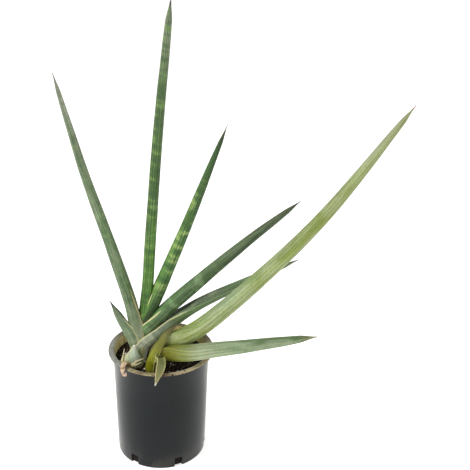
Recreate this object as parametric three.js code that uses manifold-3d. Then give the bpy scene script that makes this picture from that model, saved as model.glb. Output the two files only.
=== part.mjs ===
// Cylindrical snake plant growing in a plain nursery container, in millimetres, +Z up.
// The origin is the centre of the container's flat underside, and the plant's front faces -Y.
import * as THREE from 'three';
import { mergeVertices } from 'three/addons/utils/BufferGeometryUtils.js';
import Module from 'manifold-3d';

const { lerp, smoothstep } = THREE.MathUtils;
const wasm = await Module();
wasm.setup();

// Driving dimensions
const clearance = 0.3; // gap between pieces that touch
const leafSides = 16; // corners round a leaf
const ringCrowding = 0.55; // above 0 puts the rings of a leaf closer together at both ends
const fluteDepth = 0.35; // lengthwise grooves on the back of a leaf
const marginFoot = 1.3; // thickness of a leaf's margins where it clasps
const marginBlade = 0.8; // and further up
const tipLength = 22; // end of a leaf that narrows to its point
const scrap = 0.02; // detail smaller than this is dropped after a cut
const soilLevel = 129;
const holeTop = 136; // the plain holes round the two shoots reach above the soil's mound

const pot = {
  height: 142.5,
  lipRadius: 65,
  lipThickness: 2.4,
  lipInner: 60.5, // inner edge of the lip's flat top
  topRadius: 59, // outside of the wall under the lip
  footRadius: 55.3,
  footRound: 1.6,
  wall: 1.4,
  floor: 2,
  sides: 60,
};
const notch = { count: 6, first: -33, width: 10.5, height: 13.5, depth: 14 };

// The two fans. Their leaves are listed from the inside out: each one clasps those before it,
// so the place and section of its foot follow from the core and the walls already wrapped round.
// side: -1 grows from the left of the shoot, 1 from the right; wraps: how far its margins reach
// past the middle of the shoot; path: spine points above the foot; blade: greatest width and
// depth; taper: power of the narrowing towards the tip; clasp: length over which the channel
// closes; widens: length over which the foot widens to the blade, where that isn't 0.6 of the
// clasp; faces: the way the channel turns further up.
const rootLevel = 117; // where the leaves are cut flat and sit on the rhizome's crowns
const rootStub = 6; // length of each leaf modelled below that, before the cut
const core = { width: 9, depth: 7 };
const keelFoot = 1.8; // thickness at the back of a sheath

const fans = [
  {
    centre: [-29.5, -10],
    leaves: [
      {
        name: 'leaf_tall_centre', side: -1, wraps: 3.5, blade: [16.4, 14.4], taper: 0.23,
        clasp: 60, widens: 110, rings: 15,
        path: [[-24.3, -9.4, 160], [-15.6, -7.8, 224.4], [-9.8, -9, 305], [1.2, -8, 442], [14, -7, 567]],
        faces: [0.8, 0.6, 0], color: 0x4a7336,
      },
      {
        name: 'leaf_right_upper', side: 1, wraps: 5.6, blade: [22.5, 20], taper: 0.5,
        clasp: 110, widens: 130, rings: 14,
        path: [[-25.8, -10, 161], [-7.5, -8.3, 210.7], [32, -7, 313], [58, -6, 384], [76, -5, 432.5]],
        faces: [-0.8, 0.7, 0.3], color: 0x4f8040,
      },
      {
        name: 'leaf_right_middle', side: 1, wraps: 7, blade: [25, 21.5], taper: 0.45,
        clasp: 100, widens: 125, rings: 14,
        path: [[-23.8, -9.4, 160.5], [-2, -9.6, 190.7], [51, -4, 242.4], [104.5, 2.5, 290.6], [163.3, 9.9, 339]],
        faces: [-0.6, 0.45, 0.45], color: 0x5a8560,
      },
      {
        name: 'leaf_left_long', side: -1, wraps: 10, blade: [20, 17.5], taper: 0.45,
        clasp: 115, widens: 115, rings: 14,
        path: [[-28.5, -10.4, 160], [-34.4, -11.3, 205], [-55, -14, 282], [-83, -18, 378], [-111, -22, 490]],
        faces: [0.75, 0.7, 0.2], color: 0x5a7d4b,
      },
      {
        name: 'leaf_right_low', side: 1, wraps: 9, blade: [22, 19], taper: 0.45,
        clasp: 150, rings: 14,
        path: [[-22, -10, 150], [-0.4, -8.8, 170.6], [42, -6.5, 205.3], [100, -3.4, 237], [164.7, -0.1, 268.5]],
        faces: [-0.45, -0.05, 0.85], color: 0x64876a,
      },
      {
        name: 'leaf_left_short', side: -1, wraps: 11, blade: [20.5, 18.5], taper: 0.43,
        clasp: 110, rings: 12,
        path: [[-29.5, -11, 149], [-35.5, -12.2, 165], [-48, -14, 190.5], [-59.2, -16, 214]],
        faces: [0.7, 0.6, 0.4], color: 0x5e8463,
      },
    ],
  },
  {
    centre: [-9, -29],
    leaves: [
      {
        name: 'leaf_front_longest', side: 1, wraps: 3.5, blade: [28, 24], taper: 0.45,
        clasp: 120, rings: 17,
        path: [
          [-5, -28, 146], [12, -27.5, 163], [48.5, -30, 188.7], [130.8, -34, 272.5], [188.5, -37.5, 343],
          [274, -41, 470.5],
        ],
        faces: [-0.6, 0.6, 0.5], color: 0xa3b878,
      },
      {
        name: 'leaf_front_low', side: 1, wraps: -3, blade: [28, 24.5], taper: 0.44,
        clasp: 92, rings: 16,
        path: [
          [-4, -29, 139], [3, -29.5, 149.3], [13.5, -34.5, 156.4], [33.5, -42, 160.8], [68, -44.5, 168],
          [110, -46.5, 176.2], [158, -49.5, 187], [187.5, -52.3, 194.2],
        ],
        faces: [-0.1, 0.6, 0.8], color: 0x9cb488,
      },
      {
        name: 'leaf_front_stub', side: -1, wraps: 6.5, blade: [14.5, 10.5], taper: 0.2,
        clasp: 80, rings: 11,
        path: [
          [-10.5, -36.5, 139.1], [-4.3, -42.5, 159.2], [3, -40, 171.3], [9.8, -35.5, 181.7],
          [21.5, -29, 192.2],
        ],
        faces: [0.7, 0.6, -0.4], color: 0x969b32,
      },
    ],
  },
];

// Small loose-footed leaves, with the whole spine and the foot's width and depth given.
const outerLeaves = [
  {
    name: 'scale_leaf_left', foot: [31, 12], blade: [34, 14], taper: 0.4, clasp: 60, keel: 8, rings: 10,
    spine: [[-33.5, -24, 118], [-33, -27, 132], [-31.5, -28, 146], [-30, -25, 160]],
    opens: [0.2, 1, 0], faces: [0.2, 1, 0], color: 0xb9ccb0,
  },
  {
    name: 'scale_leaf_front', foot: [14, 4.5], blade: [90, 14], taper: 0.5, clasp: 400, rings: 14,
    spine: [
      [-2, -44, 126], [-1, -44, 145], [0.8, -47, 156.5], [4, -53, 156.5], [4.2, -60.5, 153],
      [2.4, -67, 146.5], [-1.3, -72, 133.1],
    ],
    opens: [0.6, -0.7, 0.4], faces: [0.6, -0.7, 0.4], color: 0xb3b37a,
  },
  {
    name: 'withered_leaf', foot: [6, 3], blade: [10, 3.8], taper: 0.12, clasp: 30, rings: 12,
    spine: [
      [-37, -37.5, 124], [-37.3, -38.3, 138], [-38.5, -41.8, 144.8], [-39.8, -46.5, 146.3], [-40.8, -52, 146],
      [-41, -56.4, 142.5], [-40, -58, 139], [-37.8, -58.3, 138.3], [-36.4, -57.8, 141.3],
    ],
    opens: [0.2, 0.5, 0.5], faces: [-0.4, -0.6, 0.4], color: 0xa98a6a,
  },
];

// Straw-coloured strips left of an old sheath, joined at the root.
const stripSpines = [
  [[-43.5, -23, 118], [-46.5, -27, 132], [-44.5, -24.5, 143], [-42.5, -22.5, 152.5]],
  [[-41, -26, 118], [-40, -33, 131], [-34, -36, 136], [-27, -36, 139], [-20.5, -34.5, 141.5]],
  [[-39.5, -27.5, 118], [-37.5, -31.5, 132], [-30, -33, 140], [-18.5, -31.5, 145]],
];
const strip = {
  foot: [8, 1.6], blade: [6.5, 1.5], taper: 0.3, clasp: 30, rings: 9,
  opens: [0.7, 0.6, 0], faces: [0.7, 0.6, 0],
};

const rhizome = {
  spine: [[-44, 5, 100], [-29.5, -10, 103], [-9, -29, 103], [5, -42, 99]],
  radius: 8.5,
  roots: [
    [[-40, 0, 102], [-46, 8, 80], [-38, 16, 52], [-42, 22, 30]],
    [[-28, -8, 100], [-24, -20, 76], [-30, -30, 50], [-22, -34, 26]],
    [[-14, -22, 100], [-2, -16, 72], [6, -20, 46], [2, -28, 22]],
    [[-4, -34, 100], [10, -40, 78], [22, -34, 52], [30, -36, 34]],
    [[-20, -14, 100], [-8, 2, 78], [8, 12, 56], [12, 26, 30]],
  ],
  rootRadius: 1.4,
};

function curveThrough(points) {
  return new THREE.CatmullRomCurve3(points.map((point) => new THREE.Vector3(...point)));
}

/** Turns a closed three.js geometry into a solid that can be cut and joined. */
function solidOf(geometry) {
  geometry.deleteAttribute('normal');
  geometry.deleteAttribute('uv');
  const merged = mergeVertices(geometry, 1e-4);
  return new wasm.Manifold(new wasm.Mesh({
    numProp: 3,
    vertProperties: Float32Array.from(merged.attributes.position.array),
    triVerts: Uint32Array.from(merged.index.array),
  }));
}

/** Turns a solid back into a geometry with flat, outward normals. */
function geometryOf(solid) {
  const mesh = solid.getMesh();
  const geometry = new THREE.BufferGeometry();
  geometry.setAttribute('position', new THREE.BufferAttribute(mesh.vertProperties, 3));
  geometry.setIndex(new THREE.BufferAttribute(mesh.triVerts, 1));
  geometry.computeVertexNormals();
  return geometry;
}

function mainBody(solid) {
  return solid.decompose().reduce((best, body) => (body.volume() > best.volume() ? body : best));
}

/** Cuts each of the others out of a solid and keeps its main body, without scraps. */
function cutClear(solid, others) {
  const cut = others.reduce((body, other) => body.subtract(other), solid);
  return mainBody(mainBody(cut).simplify(scrap));
}

/** Moves each corner of a clockwise outline outwards, square to the sides that meet there. */
function grown(outline, grow) {
  return outline.map((corner, i) => {
    const before = corner.clone().sub(outline.at(i - 1)).normalize();
    const after = outline[(i + 1) % outline.length].clone().sub(corner).normalize();
    const outward = new THREE.Vector2(-before.y - after.y, before.x + after.x).normalize();
    const reach = grow / Math.max(outward.dot(new THREE.Vector2(-before.y, before.x)), 0.5);
    return corner.clone().addScaledVector(outward, reach);
  });
}

/**
 * Bends a closed cylinder along a spine. outlineAt(along) gives the corners of its section, with
 * x across and y towards the open side, and opens(along) gives the way that this side faces.
 */
function bentCylinder(spine, sides, rings, outlineAt, opens, grow = 0) {
  const curve = curveThrough(spine);
  const geometry = new THREE.CylinderGeometry(1, 1, 1, sides, rings, false, Math.PI / sides);
  const position = geometry.attributes.position;
  for (let i = 0; i < position.count; i += 1) {
    const step = 2 * Math.PI * (position.getY(i) + 0.5);
    const along = (step - ringCrowding * Math.sin(step)) / (2 * Math.PI);
    const [sine, cosine] = [position.getX(i), position.getZ(i)];
    const tangent = curve.getTangentAt(along);
    const open = opens(along).addScaledVector(tangent, -opens(along).dot(tangent)).normalize();
    const across = tangent.clone().cross(open);
    const overrun = grow * (Number(along > 0.999) - Number(along < 0.001));
    const point = curve.getPointAt(along).addScaledVector(tangent, overrun);
    if (Math.hypot(sine, cosine) > 0.5) {
      const turn = (Math.atan2(sine, cosine) / (2 * Math.PI) + 1) % 1;
      const corner = grown(outlineAt(along), grow)[Math.floor(turn * sides)];
      point.addScaledVector(across, corner.x).addScaledVector(open, corner.y);
    }
    position.setXYZ(i, point.x, point.y, point.z);
  }
  return solidOf(geometry);
}

/** Works out the foot of every leaf of a fan from those that it wraps. */
function wrapFan(fan) {
  const [x, y] = fan.centre;
  const reach = { [-1]: core.depth / 2, 1: core.depth / 2 };
  let half = core.width / 2;
  return fan.leaves.map((leaf, i) => {
    if (i > 0) {
      half += marginFoot + clearance;
      reach[leaf.side] += keelFoot + clearance;
    }
    const root = [x + (leaf.side * (reach[leaf.side] - leaf.wraps)) / 2, y, rootLevel - rootStub];
    return {
      ...leaf,
      foot: [2 * half, reach[leaf.side] + leaf.wraps],
      spine: [root, ...leaf.path],
      opens: [-leaf.side, 0, 0],
      keel: i > 0 ? keelFoot : core.depth * 0.7,
    };
  });
}

/** Section of a leaf: a U where it clasps, nearly round above, grooved on its back. */
function leafOutline(leaf, along, length, fluted) {
  const closing = smoothstep(along * length, 0, leaf.clasp);
  const widening = smoothstep(along * length, 0, leaf.widens ?? leaf.clasp * 0.6);
  const sharpening = lerp(0.4, 1, smoothstep((1 - along) * length, 0, tipLength));
  const narrowing = Math.max(1 - along, 0) ** leaf.taper * sharpening;
  const width = Math.max(lerp(leaf.foot[0], leaf.blade[0], widening) * narrowing, 1);
  const depth = Math.max(lerp(leaf.foot[1], leaf.blade[1], widening) * narrowing, 0.9);
  const keel = Math.min(leaf.keel ?? keelFoot, depth * 0.8);
  const opening = smoothstep(along * length, 0, rootStub);
  const front = lerp(depth * 0.3, lerp(keel - depth, depth * 0.45, closing), opening);
  const back = depth - Math.max(front, 0);
  const middle = (Math.max(front, 0) - back) / 2;
  const margin = Math.min(lerp(marginFoot, marginBlade, closing), width * 0.2);
  const stretch = (2 * Math.PI * leafSides) / (leafSides - 2);
  return Array.from({ length: leafSides }, (_, corner) => {
    const turn = (corner + 0.5) / leafSides;
    const isBack = turn > 0.25 && turn < 0.75;
    const angle = (isBack ? turn - 0.5 : turn - Math.round(turn)) * stretch;
    const half = isBack ? -width / 2 : width / 2 - margin;
    const reach = isBack ? -back : front;
    const inset = fluted && isBack && corner % 2 ? 1 - Math.min(fluteDepth / depth, 0.04) : 1;
    return new THREE.Vector2(half * Math.sin(angle), reach * Math.cos(angle) * inset - middle);
  });
}

/** One leaf, or the space to keep clear for it when it is grown by the clearance. */
function leafSolid(leaf, grow = 0) {
  const [from, to] = [new THREE.Vector3(...leaf.opens), new THREE.Vector3(...leaf.faces)];
  const length = curveThrough(leaf.spine).getLength();
  const opens = (along) => from.clone().lerp(to, smoothstep(along * length, 20, leaf.clasp));
  const outlineAt = (along) => leafOutline(leaf, along, length, grow === 0);
  return bentCylinder(leaf.spine, leafSides, leaf.rings, outlineAt, opens, grow);
}

/** A round stem or root of the given radius, drawn in at both ends. */
function stemSolid(spine, radius, sides, rings, grow = 0) {
  const outlineAt = (along) => Array.from({ length: sides }, (_, corner) => {
    const reach = radius * (1 - 0.45 * Math.abs(2 * along - 1) ** 4);
    const angle = ((corner + 0.5) / sides) * 2 * Math.PI;
    return new THREE.Vector2(reach * Math.sin(angle), reach * Math.cos(angle));
  });
  const opens = () => new THREE.Vector3(0.3, 0.2, 0.9);
  return bentCylinder(spine, sides, rings, outlineAt, opens, grow);
}

/** The underground stem, with a flat-topped crown under each fan, and its roots. */
function rhizomeSolid(grow = 0) {
  let solid = stemSolid(rhizome.spine, rhizome.radius, 12, 8, grow);
  const top = rootLevel - clearance + grow;
  for (const fan of fans) {
    const foot = wrapFan(fan).at(-1).foot;
    const radius = Math.max(...foot) / 2 + grow;
    const crown = new THREE.CylinderGeometry(radius, rhizome.radius * 0.8, top - rhizome.spine[1][2], 16);
    crown.rotateX(Math.PI / 2);
    crown.translate(fan.centre[0], fan.centre[1], (top + rhizome.spine[1][2]) / 2);
    solid = solid.add(solidOf(crown));
  }
  for (const root of rhizome.roots) {
    solid = solid.add(stemSolid(root, rhizome.rootRadius, 5, 6, grow));
  }
  return solid;
}

/** Height of the soil's uneven top above its level, in gentle waves, flat near the wall. */
function soilRelief(x, y) {
  const waves = Math.sin(x / 7 + 1) * Math.cos(y / 6) + 0.7 * Math.sin(x / 4 - y / 5);
  const mound = 2.5 * Math.exp(-((x + 17) ** 2 + (y + 18) ** 2) / 700);
  return waves * 0.8 + mound;
}

function potInnerRadius(z) {
  return lerp(pot.footRadius, pot.topRadius, z / pot.height) - pot.wall;
}

function soilSolid() {
  const bottom = pot.floor + clearance;
  const topRings = 7;
  const rim = potInnerRadius(soilLevel) - clearance;
  const foot = potInnerRadius(bottom) - clearance;
  const profile = [new THREE.Vector2(0, bottom), new THREE.Vector2(foot, bottom)];
  for (let ring = topRings; ring >= 0; ring -= 1) {
    profile.push(new THREE.Vector2((rim * ring) / topRings, soilLevel));
  }
  const geometry = new THREE.LatheGeometry(profile, 32);
  geometry.rotateX(Math.PI / 2);
  const position = geometry.attributes.position;
  for (let i = 0; i < position.count; i += 1) {
    const [x, y, z] = [position.getX(i), position.getY(i), position.getZ(i)];
    if (z > soilLevel - 1 && Math.hypot(x, y) < rim - 1) {
      position.setZ(i, z + soilRelief(x, y));
    }
  }
  return solidOf(geometry);
}

function potSolid() {
  const underLip = pot.height - pot.lipThickness;
  const profile = [
    [0, 0], [pot.footRadius - pot.footRound, 0], [pot.footRadius - pot.footRound * 0.3, pot.footRound * 0.4],
    [pot.footRadius, pot.footRound * 1.4], [pot.topRadius, underLip], [pot.lipRadius - 0.5, underLip],
    [pot.lipRadius, underLip + 0.5], [pot.lipRadius, pot.height - 0.7], [pot.lipRadius - 0.7, pot.height],
    [pot.lipInner, pot.height], [pot.topRadius - pot.wall + 0.7, pot.height - 0.6],
    [pot.topRadius - pot.wall, pot.height - 1.6], [pot.footRadius - pot.wall, pot.floor], [0, pot.floor],
  ];
  const geometry = new THREE.LatheGeometry(profile.map(([r, z]) => new THREE.Vector2(r, z)), pot.sides);
  geometry.rotateX(Math.PI / 2);
  let solid = solidOf(geometry);
  for (let i = 0; i < notch.count; i += 1) {
    const cutter = new THREE.BoxGeometry(notch.width, notch.depth, notch.height + 1);
    cutter.translate(0, -pot.footRadius, (notch.height - 1) / 2);
    cutter.rotateZ(THREE.MathUtils.degToRad(notch.first + (360 / notch.count) * i));
    solid = solid.subtract(solidOf(cutter));
  }
  return solid;
}

const group = new THREE.Group();

function addPiece(name, solid, color, roughness) {
  const material = new THREE.MeshStandardMaterial({ color, roughness, metalness: 0 });
  const mesh = new THREE.Mesh(geometryOf(solid), material);
  mesh.name = name;
  group.add(mesh);
}

// Each leaf is cut clear of the ones inside it, which gives every sheath its true clasp.
const inTheWay = [];
const soilHoles = [rhizomeSolid(clearance)];
for (const fan of fans) {
  const grownLeaves = [];
  for (const leaf of wrapFan(fan)) {
    const solid = leafSolid(leaf).trimByPlane([0, 0, 1], rootLevel);
    addPiece(leaf.name, cutClear(solid, [...inTheWay, ...grownLeaves]), leaf.color, 0.5);
    grownLeaves.push(solid, leafSolid(leaf, clearance));
  }
  inTheWay.push(...grownLeaves);
  const feet = grownLeaves.map((leaf) => leaf.trimByPlane([0, 0, -1], -holeTop));
  soilHoles.push(wasm.Manifold.hull(feet));
}

const strips = stripSpines.map((spine) => ({ ...strip, spine }));
const drySheath = strips.map((leaf) => leafSolid(leaf)).reduce((all, one) => all.add(one));
addPiece('dry_sheath', cutClear(drySheath, inTheWay), 0xcfc79a, 0.8);
inTheWay.push(drySheath, ...strips.map((leaf) => leafSolid(leaf, clearance)));

for (const leaf of outerLeaves) {
  const solid = leafSolid(leaf);
  addPiece(leaf.name, cutClear(solid, inTheWay), leaf.color, 0.6);
  inTheWay.push(solid, leafSolid(leaf, clearance));
}
soilHoles.push(...inTheWay.slice(2 * fans.flatMap((fan) => fan.leaves).length));

addPiece('rhizome', rhizomeSolid(), 0xb98a4e, 0.7);
addPiece('potting_mix', cutClear(soilSolid(), soilHoles), 0x231a12, 0.95);
addPiece('pot', potSolid(), 0x34383a, 0.45);

export default group;
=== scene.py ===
import bisect
import random
from math import atan2, cos, exp, hypot, pi, radians, sin, sqrt

import bmesh
import bpy
from mathutils import Matrix, Vector, noise


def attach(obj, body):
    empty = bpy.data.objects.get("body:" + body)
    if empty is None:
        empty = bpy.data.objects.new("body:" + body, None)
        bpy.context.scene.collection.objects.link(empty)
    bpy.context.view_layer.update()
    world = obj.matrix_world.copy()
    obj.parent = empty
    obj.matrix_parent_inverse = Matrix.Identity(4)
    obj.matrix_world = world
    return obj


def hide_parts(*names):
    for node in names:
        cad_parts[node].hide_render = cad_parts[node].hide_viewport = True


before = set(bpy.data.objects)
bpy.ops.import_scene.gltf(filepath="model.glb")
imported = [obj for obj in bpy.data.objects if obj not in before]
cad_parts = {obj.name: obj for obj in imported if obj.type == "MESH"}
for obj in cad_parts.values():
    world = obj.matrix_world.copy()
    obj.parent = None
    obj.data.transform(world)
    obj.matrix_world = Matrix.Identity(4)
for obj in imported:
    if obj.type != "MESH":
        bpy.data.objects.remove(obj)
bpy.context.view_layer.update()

mm = 0.001  # sizes below are in millimetres, meshes and shader places in metres
noise.seed_set(3)  # vector noise comes out the same on every run


def smoothStep(value, low, high):
    t = min(max((value - low) / (high - low), 0), 1)
    return t * t * (3 - 2 * t)


def fadeOut(value, low, high):
    return 1 - smoothStep(value, low, high)


def lerp(a, b, t):
    return a + (b - a) * t


def paint(red, green, blue):
    # screen colour, 0 to 255, as the shader wants it
    def straight(value):
        value /= 255
        return value / 12.92 if value <= 0.04045 else ((value + 0.055) / 1.055) ** 2.4
    return (straight(red), straight(green), straight(blue), 1)


def plug(socket, value):
    # another node's output is linked, anything else is set
    if isinstance(value, bpy.types.NodeSocket):
        socket.id_data.links.new(value, socket)
    else:
        socket.default_value = value


def addNode(tree, kind, props=None, **inputs):
    node = tree.nodes.new("ShaderNode" + kind)
    for key, value in (props or {}).items():
        setattr(node, key, value)
    for key, value in inputs.items():
        plug(node.inputs[key.replace("_", " ")], value)
    return node


def maths(operation, a, b, clamp=False):
    # one of the two is a socket, and its tree takes the new node
    tree = next(value.id_data for value in (a, b) if isinstance(value, bpy.types.NodeSocket))
    node = addNode(tree, "Math", {"operation": operation, "use_clamp": clamp})
    plug(node.inputs[0], a)
    plug(node.inputs[1], b)
    return node.outputs[0]


def plus(a, b, clamp=False):
    return maths("ADD", a, b, clamp)


def less(a, b):
    return maths("SUBTRACT", a, b)


def times(a, b):
    return maths("MULTIPLY", a, b)


def ranged(value, low, high, toLow=0.0, toHigh=1.0):
    node = addNode(value.id_data, "MapRange", {"interpolation_type": "SMOOTHSTEP"}, Value=value,
                   From_Min=low, From_Max=high, To_Min=toLow, To_Max=toHigh)
    return node.outputs[0]


def joined(x, y, z):
    return addNode(z.id_data, "CombineXYZ", X=x, Y=y, Z=z).outputs[0]


def parted(vector):
    return addNode(vector.id_data, "SeparateXYZ", Vector=vector).outputs


def blendColour(share, a, b, mode="MIX"):
    node = addNode(a.id_data, "Mix", {"data_type": "RGBA", "blend_type": mode})
    plug(node.inputs[0], share)
    plug(node.inputs[6], a)
    plug(node.inputs[7], b)
    return node.outputs[2]


def tinted(colour, share, tone):
    # a share of another tone laid over the colour
    return blendColour(share, colour, paint(*tone))


def shaded(colour, value):
    # the colour made darker or lighter by a value round 1
    return blendColour(1.0, colour, joined(value, value, value), "MULTIPLY")


def toneRamp(value, stops):
    node = addNode(value.id_data, "ValToRGB", Fac=value)
    ramp = node.color_ramp
    while len(ramp.elements) < len(stops):
        ramp.elements.new(0.5)
    for element, (position, tone) in zip(ramp.elements, stops):
        element.position = position
        element.color = paint(*tone)
    return node.outputs[0]


def objectPlace(tree):
    return addNode(tree, "TexCoord").outputs["Object"]


def attribute(tree, name, output):
    return addNode(tree, "Attribute", {"attribute_name": name}).outputs[output]


def speckle(vector, scale=1.0, detail=2.0, rough=0.5, distortion=0.0):
    node = addNode(vector.id_data, "TexNoise", Vector=vector, Scale=scale, Detail=detail,
                   Roughness=rough, Distortion=distortion)
    return node.outputs[0]


def drawnOut(vector, scale, detail=2.0, rough=0.5, distortion=0.0):
    # speckle with a scale of its own along each axis
    scaled = addNode(vector.id_data, "Mapping", Vector=vector, Scale=scale).outputs[0]
    return speckle(scaled, 1.0, detail, rough, distortion)


def openGroup(name, vectors, values, masks):
    # a shader group: its vector inputs, its value inputs with their defaults, its outputs
    tree = bpy.data.node_groups.new(name, "ShaderNodeTree")
    for label in vectors:
        tree.interface.new_socket(label, in_out="INPUT", socket_type="NodeSocketVector")
    for label, value in values.items():
        socket = tree.interface.new_socket(label, in_out="INPUT", socket_type="NodeSocketFloat")
        socket.default_value = value
    for label in masks:
        tree.interface.new_socket(label, in_out="OUTPUT", socket_type="NodeSocketFloat")
    source = tree.nodes.new("NodeGroupInput")
    sink = tree.nodes.new("NodeGroupOutput")
    return tree, source.outputs, sink.inputs


def placeGroup(tree, group, **inputs):
    node = tree.nodes.new("ShaderNodeGroup")
    node.node_tree = group
    for key, value in inputs.items():
        plug(node.inputs[key], value)
    return node.outputs


def openMaterial(name, **settings):
    material = bpy.data.materials.new(name)
    material.use_nodes = True
    shader = material.node_tree.nodes["Principled BSDF"]
    for key, value in settings.items():
        plug(shader.inputs[key.replace("_", " ")], value)
    return material, material.node_tree, shader


def raised(shader, height, distance, strength):
    bump = addNode(shader.id_data, "Bump", Height=height, Distance=distance, Strength=strength)
    plug(shader.inputs["Normal"], bump.outputs[0])


# the finishes that several materials share; Place is a leaf's own space, with its length along Z
bandFinish = dict(across=0.25, dashes=(9, 9, 0.07), broken=0.45, light=(0.54, 0.68), dark=(0.47, 0.33))
streakFinish = dict(wide=(4, 4, 0.010), fine=(13, 13, 0.022), skin=(16, 16, 0.4), shares=(0.45, 0.55))
bloomFinish = dict(patches=(1.2, 1.2, 0.03), mask=(0.36, 0.66))
scarFinish = dict(spots=(5, 5, 0.42), rarest=0.80, share=0.14, soft=0.04)
dustFinish = dict(grain=420, thins=0.32, mask=(0.40, 0.62))


def makeCrossBands():
    # uneven bands across a leaf, broken into short dashes
    tree, source, sink = openGroup("crossBands", ["Place"], {"Every": 14.0}, ["Light", "Dark"])
    x, y, along = parted(source["Place"])
    across, around = times(x, bandFinish["across"]), times(y, bandFinish["across"])
    rows = maths("DIVIDE", along, source["Every"])
    bands = speckle(joined(across, around, rows), 1.0, 1.5, 0.5, 0.25)
    dashes = drawnOut(source["Place"], bandFinish["dashes"])
    mixed = plus(bands, times(less(dashes, 0.5), bandFinish["broken"]))
    plug(sink["Light"], ranged(mixed, *bandFinish["light"]))
    plug(sink["Dark"], ranged(mixed, *bandFinish["dark"]))
    return tree


def makeLeafStreaks():
    # fine lengthwise lines of a leaf, and the grain of its skin
    tree, source, sink = openGroup("leafStreaks", ["Place"], {}, ["Streaks", "Skin"])
    wide = drawnOut(source["Place"], streakFinish["wide"], 2.0, 0.6)
    fine = drawnOut(source["Place"], streakFinish["fine"], 3.0, 0.6)
    wideShare, fineShare = streakFinish["shares"]
    plug(sink["Streaks"], plus(times(wide, wideShare), times(fine, fineShare)))
    plug(sink["Skin"], drawnOut(source["Place"], streakFinish["skin"], 3.0, 0.6))
    return tree


def makeWaxBloom():
    # whitish bloom that is rubbed off in patches
    tree, source, sink = openGroup("waxBloom", ["Place"], {}, ["Bloom"])
    patches = drawnOut(source["Place"], bloomFinish["patches"], 4.0, 0.6, 0.6)
    plug(sink["Bloom"], ranged(patches, *bloomFinish["mask"]))
    return tree


def makeCorkyScars():
    # small corky scars and dots, more of them as Share grows
    tree, source, sink = openGroup("corkyScars", ["Place"], {"Share": 0.3}, ["Scars"])
    spots = drawnOut(source["Place"], scarFinish["spots"], 3.0, 0.7)
    edge = less(scarFinish["rarest"], times(source["Share"], scarFinish["share"]))
    plug(sink["Scars"], ranged(spots, edge, plus(edge, scarFinish["soft"])))
    return tree


def makeSoilDust():
    # mix that clings near the soil's surface, thinning out upwards
    tree, source, sink = openGroup("soilDust", [], {"Level": 0.129, "Rise": 0.02}, ["Dust"])
    place = objectPlace(tree)
    above = maths("DIVIDE", less(parted(place)[2], source["Level"]), source["Rise"])
    grains = speckle(place, dustFinish["grain"], 4.0, 0.65)
    plug(sink["Dust"], ranged(less(grains, times(above, dustFinish["thins"])), *dustFinish["mask"]))
    return tree


crossBands = makeCrossBands()
leafStreaks = makeLeafStreaks()
waxBloom = makeWaxBloom()
corkyScars = makeCorkyScars()
soilDust = makeSoilDust()
print("shared finishes ready")


def placeObject(name, data):
    thing = bpy.data.objects.new(name, data)
    bpy.context.scene.collection.objects.link(thing)
    return thing


def placeMesh(name, bm):
    mesh = bpy.data.meshes.new(name)
    bm.to_mesh(mesh)
    bm.free()
    return placeObject(name, mesh)


def addPiece(name, bm, material, node, smooth=True):
    piece = placeMesh(name, bm)
    piece.data.materials.append(material)
    piece.data.shade_smooth() if smooth else piece.data.shade_flat()
    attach(piece, "root")
    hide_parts(node)
    return piece


# what all leaves share: the core that a fan starts from, the sheath's walls, and the section's proportions
form = dict(coreWidth=9, coreDepth=7, coreKeel=0.7, keel=1.8, gap=0.3, root=117, stub=6, margin=1.3,
            bladeMargin=0.8, marginMost=0.2, widens=0.6, turnsFrom=20, tip=22, tipWidth=0.4,
            leastWidth=0.8, leastDepth=0.7, keelMost=0.8, stubFront=0.3, bladeFront=0.45,
            lipInset=0.45, lipHeight=0.4, ringSpread=0.55)
# grooves and unevenness of the skin; each pair is a noise scale across and along
relief = dict(groove=0.28, grooveEdge=6, backGroove=0.35, rootGroove=0.3, wave=0.3, waves=(0.16, 0.028),
              folds=(0.45, 0.16), creases=(1.1, 0.5), marginFade=(0.4, 1.45))
# a leaf's entry: blade is its width and depth, clasp the length over which its sheath closes, widens that
# over which it reaches full width, wraps how far the sheath goes past the fan's middle, faces the way its
# channel turns, edgeFade where its pale margin ends as shares of clasp, edging the least left of that margin
plainLeaf = dict(keel=form["keel"], flutes=7, edgeFade=(0.55, 0.95), edging=0, crumple=0)


def spineThrough(points):
    # centripetal curve through the points, with the length reached at each sample
    knots = [Vector(point) for point in points]
    knots = [2 * knots[0] - knots[1]] + knots + [2 * knots[-1] - knots[-2]]
    steps = 60
    samples = []
    for a, b, c, d in zip(knots, knots[1:], knots[2:], knots[3:]):
        before, span, after = ((q - p).length ** 0.5 for p, q in ((a, b), (b, c), (c, d)))
        leave = ((b - a) / before - (c - a) / (before + span) + (c - b) / span) * span
        arrive = ((c - b) / span - (d - b) / (span + after) + (d - c) / after) * span
        for step in range(steps):
            t = step / steps
            samples.append(b + leave * t + (3 * (c - b) - 2 * leave - arrive) * t ** 2
                           + (2 * (b - c) + leave + arrive) * t ** 3)
    samples.append(knots[-2])
    lengths = [0.0]
    for a, b in zip(samples, samples[1:]):
        lengths.append(lengths[-1] + (b - a).length)
    return samples, lengths


def pointAlong(samples, lengths, share):
    # place and direction at a share of the spine's length
    want = share * lengths[-1]
    last = len(samples) - 1
    i = min(max(bisect.bisect_right(lengths, want) - 1, 0), last - 1)
    t = (want - lengths[i]) / (lengths[i + 1] - lengths[i])
    here, ahead = (samples[min(k + 1, last)] - samples[max(k - 1, 0)] for k in (i, i + 1))
    heading = here.normalized().lerp(ahead.normalized(), t).normalized()
    return samples[i].lerp(samples[i + 1], t), heading


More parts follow.
